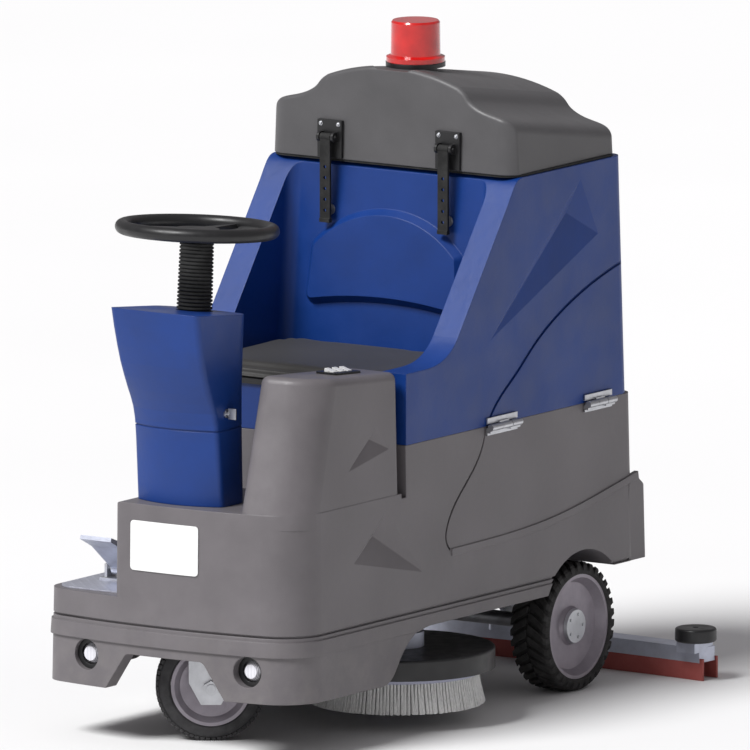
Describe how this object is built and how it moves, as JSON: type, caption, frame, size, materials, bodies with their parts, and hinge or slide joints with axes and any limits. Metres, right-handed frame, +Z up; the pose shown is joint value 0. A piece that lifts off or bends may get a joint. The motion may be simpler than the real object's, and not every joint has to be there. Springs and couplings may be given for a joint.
{
  "type": "ride-on floor scrubber-dryer",
  "caption": "Ride-on floor cleaning machine with a steered front wheel, disc brushes, tilting tank with seat, lid with beacon, and a rear squeegee.",
  "frame": {"origin": "on the floor under the middle of the machine's plan box", "axes": "+Z up, the machine faces -Y, +X is the driver's left"},
  "size_m": [0.924, 1.3991, 1.3555],
  "materials": {
    "battery_case": "satin",
    "black_plastic": "satin",
    "blue_moulding": "satin moulding",
    "bristle": "nylon bristle",
    "brush_plate": "satin",
    "clear_lens": "clear",
    "frame_paint": "black powder coat",
    "grey_moulding": "fine textured moulding",
    "lid_moulding": "fine textured moulding",
    "pad_metal": "satin",
    "red_lens": "clear red",
    "rubber": "matt",
    "seat_vinyl": "grained vinyl",
    "squeegee_rubber": "matt",
    "tread_plate": "bright",
    "tyre": "matt",
    "wheel_paint": "satin silver paint",
    "white_plastic": "white",
    "white_plate": "blank white",
    "zinc_steel": "zinc plated"
  },
  "bodies": {
    "chassis": {"lower_body": "grey_moulding", "chassis_frame": "frame_paint", "footwell_plate": "tread_plate", "column_cover": "blue_moulding", "column_bellows": "rubber", "switch_panel": "black_plastic", "headlight_bezels": "black_plastic", "headlight_lenses": "clear_lens", "name_plate": "white_plate", "hinge_lower_leaves": "zinc_steel", "battery_pack": "battery_case", "motor_controller": "black_plastic", "solution_pump": "black_plastic", "rear_axle": "zinc_steel", "lift_actuator": "zinc_steel", "pedal_bracket": "zinc_steel", "key_switch_body": "zinc_steel", "steering_bearing": "zinc_steel"},
    "tank": {"recovery_tank": "blue_moulding", "seat_base": "black_plastic", "seat_cushion": "seat_vinyl", "hinge_upper_leaves": "zinc_steel", "vacuum_motor": "black_plastic", "hose_port": "black_plastic", "strap_pegs": "zinc_steel"},
    "lid": {"tank_lid": "lid_moulding", "lid_gasket": "rubber", "beacon_base": "black_plastic", "beacon_lens": "red_lens", "latch_brackets": "black_plastic"},
    "strap_left": {"latch_strap_left": "rubber"},
    "strap_right": {"latch_strap_right": "rubber"},
    "steering": {"steering_wheel": "black_plastic", "steering_shaft": "zinc_steel"},
    "fork": {"steering_fork": "zinc_steel", "front_axle": "zinc_steel"},
    "front_wheel": {"front_tyre": "tyre", "front_rim": "wheel_paint"},
    "rear_wheel_left": {"rear_tyre_left": "tyre", "rear_rim_left": "wheel_paint", "hub_cap_left": "zinc_steel"},
    "rear_wheel_right": {"rear_tyre_right": "tyre", "rear_rim_right": "wheel_paint", "hub_cap_right": "zinc_steel"},
    "pedal": {"accelerator_pedal": "pad_metal"},
    "rocker_front": {"rocker_switch_front": "white_plastic"},
    "rocker_middle": {"rocker_switch_middle": "white_plastic"},
    "rocker_rear": {"rocker_switch_rear": "white_plastic"},
    "key": {"ignition_key": "zinc_steel"},
    "deck": {"brush_deck": "black_plastic", "brush_motors": "pad_metal"},
    "brush_left": {"brush_block_left": "brush_plate", "bristles_left": "bristle"},
    "brush_right": {"brush_block_right": "brush_plate", "bristles_right": "bristle"},
    "squeegee_arm": {"squeegee_arm": "zinc_steel"},
    "squeegee": {"squeegee_channel": "pad_metal", "squeegee_blades": "squeegee_rubber"},
    "guard_left": {"guard_wheel_left": "black_plastic"},
    "guard_right": {"guard_wheel_right": "black_plastic"}
  },
  "joints": [
    {"name": "tank_tilt", "type": "hinge", "parent": "chassis", "child": "tank", "pos_m": [0.311, 0, 0.582], "axis": [0, 1, 0], "range_deg": [0, 70]},
    {"name": "lid_open", "type": "hinge", "parent": "tank", "child": "lid", "pos_m": [0, 0.5373, 1.073], "axis": [-1, 0, 0], "range_deg": [0, 80]},
    {"name": "strap_left_swing", "type": "hinge", "parent": "lid", "child": "strap_left", "pos_m": [0.142, 0.1313, 1.12], "axis": [-1, 0, 0], "range_deg": [0, 150]},
    {"name": "strap_right_swing", "type": "hinge", "parent": "lid", "child": "strap_right", "pos_m": [-0.142, 0.1313, 1.12], "axis": [-1, 0, 0], "range_deg": [0, 150]},
    {"name": "steering_wheel_turn", "type": "hinge", "parent": "chassis", "child": "steering", "pos_m": [0, -0.5357, 1.033], "axis": [0, 0.0663, 0.9978], "range_deg": [-40, 360]},
    {"name": "fork_steer", "type": "hinge", "parent": "chassis", "child": "fork", "pos_m": [0, -0.4887, 0.3], "axis": [0, 0, 1], "range_deg": [-14, 126]},
    {"name": "front_wheel_roll", "type": "hinge", "parent": "fork", "child": "front_wheel", "pos_m": [0, -0.4887, 0.11], "axis": [0.5592, -0.829, 0], "continuous": true},
    {"name": "rear_wheel_left_roll", "type": "hinge", "parent": "chassis", "child": "rear_wheel_left", "pos_m": [0.2525, 0.3913, 0.131], "axis": [1, 0, 0], "continuous": true},
    {"name": "rear_wheel_right_roll", "type": "hinge", "parent": "chassis", "child": "rear_wheel_right", "pos_m": [-0.2525, 0.3913, 0.131], "axis": [1, 0, 0], "continuous": true},
    {"name": "pedal_press", "type": "hinge", "parent": "chassis", "child": "pedal", "pos_m": [-0.196, -0.4907, 0.322], "axis": [1, 0, 0], "range_deg": [0, 18], "stiffness_Nm_per_rad": 4, "springref_deg": -14.32},
    {"name": "rocker_front_press", "type": "hinge", "parent": "chassis", "child": "rocker_front", "pos_m": [0.2295, -0.40229, 0.74911], "axis": [0, -0.9972, 0.0748], "range_deg": [0, 11]},
    {"name": "rocker_middle_press", "type": "hinge", "parent": "chassis", "child": "rocker_middle", "pos_m": [0.2295, -0.37636, 0.74716], "axis": [0, -0.9972, 0.0748], "range_deg": [0, 11]},
    {"name": "rocker_rear_press", "type": "hinge", "parent": "chassis", "child": "rocker_rear", "pos_m": [0.2295, -0.35044, 0.74522], "axis": [0, -0.9972, 0.0748], "range_deg": [0, 11]},
    {"name": "key_turn", "type": "hinge", "parent": "chassis", "child": "key", "pos_m": [0.1, -0.5817, 0.677], "axis": [1, 0, 0], "range_deg": [0, 60]},
    {"name": "deck_lift", "type": "slide", "parent": "chassis", "child": "deck", "axis": [0, 0, 1], "range_m": [-0.037, 0]},
    {"name": "brush_left_spin", "type": "hinge", "parent": "deck", "child": "brush_left", "pos_m": [0.182, -0.0967, 0.1], "axis": [0, 0, 1], "continuous": true},
    {"name": "brush_right_spin", "type": "hinge", "parent": "deck", "child": "brush_right", "pos_m": [-0.182, -0.0967, 0.1], "axis": [0, 0, 1], "continuous": true},
    {"name": "squeegee_lift", "type": "hinge", "parent": "chassis", "child": "squeegee_arm", "pos_m": [0, 0.5733, 0.168], "axis": [1, 0, 0], "range_deg": [0, 14]},
    {"name": "squeegee_swivel", "type": "hinge", "parent": "squeegee_arm", "child": "squeegee", "pos_m": [0, 0.6353, 0.1], "axis": [0, 0, 1], "range_deg": [-15, 15]},
    {"name": "guard_left_roll", "type": "hinge", "parent": "squeegee", "child": "guard_left", "pos_m": [0.42, 0.6233, 0.095], "axis": [0, 0, 1], "continuous": true},
    {"name": "guard_right_roll", "type": "hinge", "parent": "squeegee", "child": "guard_right", "pos_m": [-0.42, 0.6233, 0.095], "axis": [0, 0, 1], "continuous": true}
  ],
  "couplings": [
    {"joint": "fork_steer", "follows": "steering_wheel_turn", "ratio": 0.34483}
  ]
}
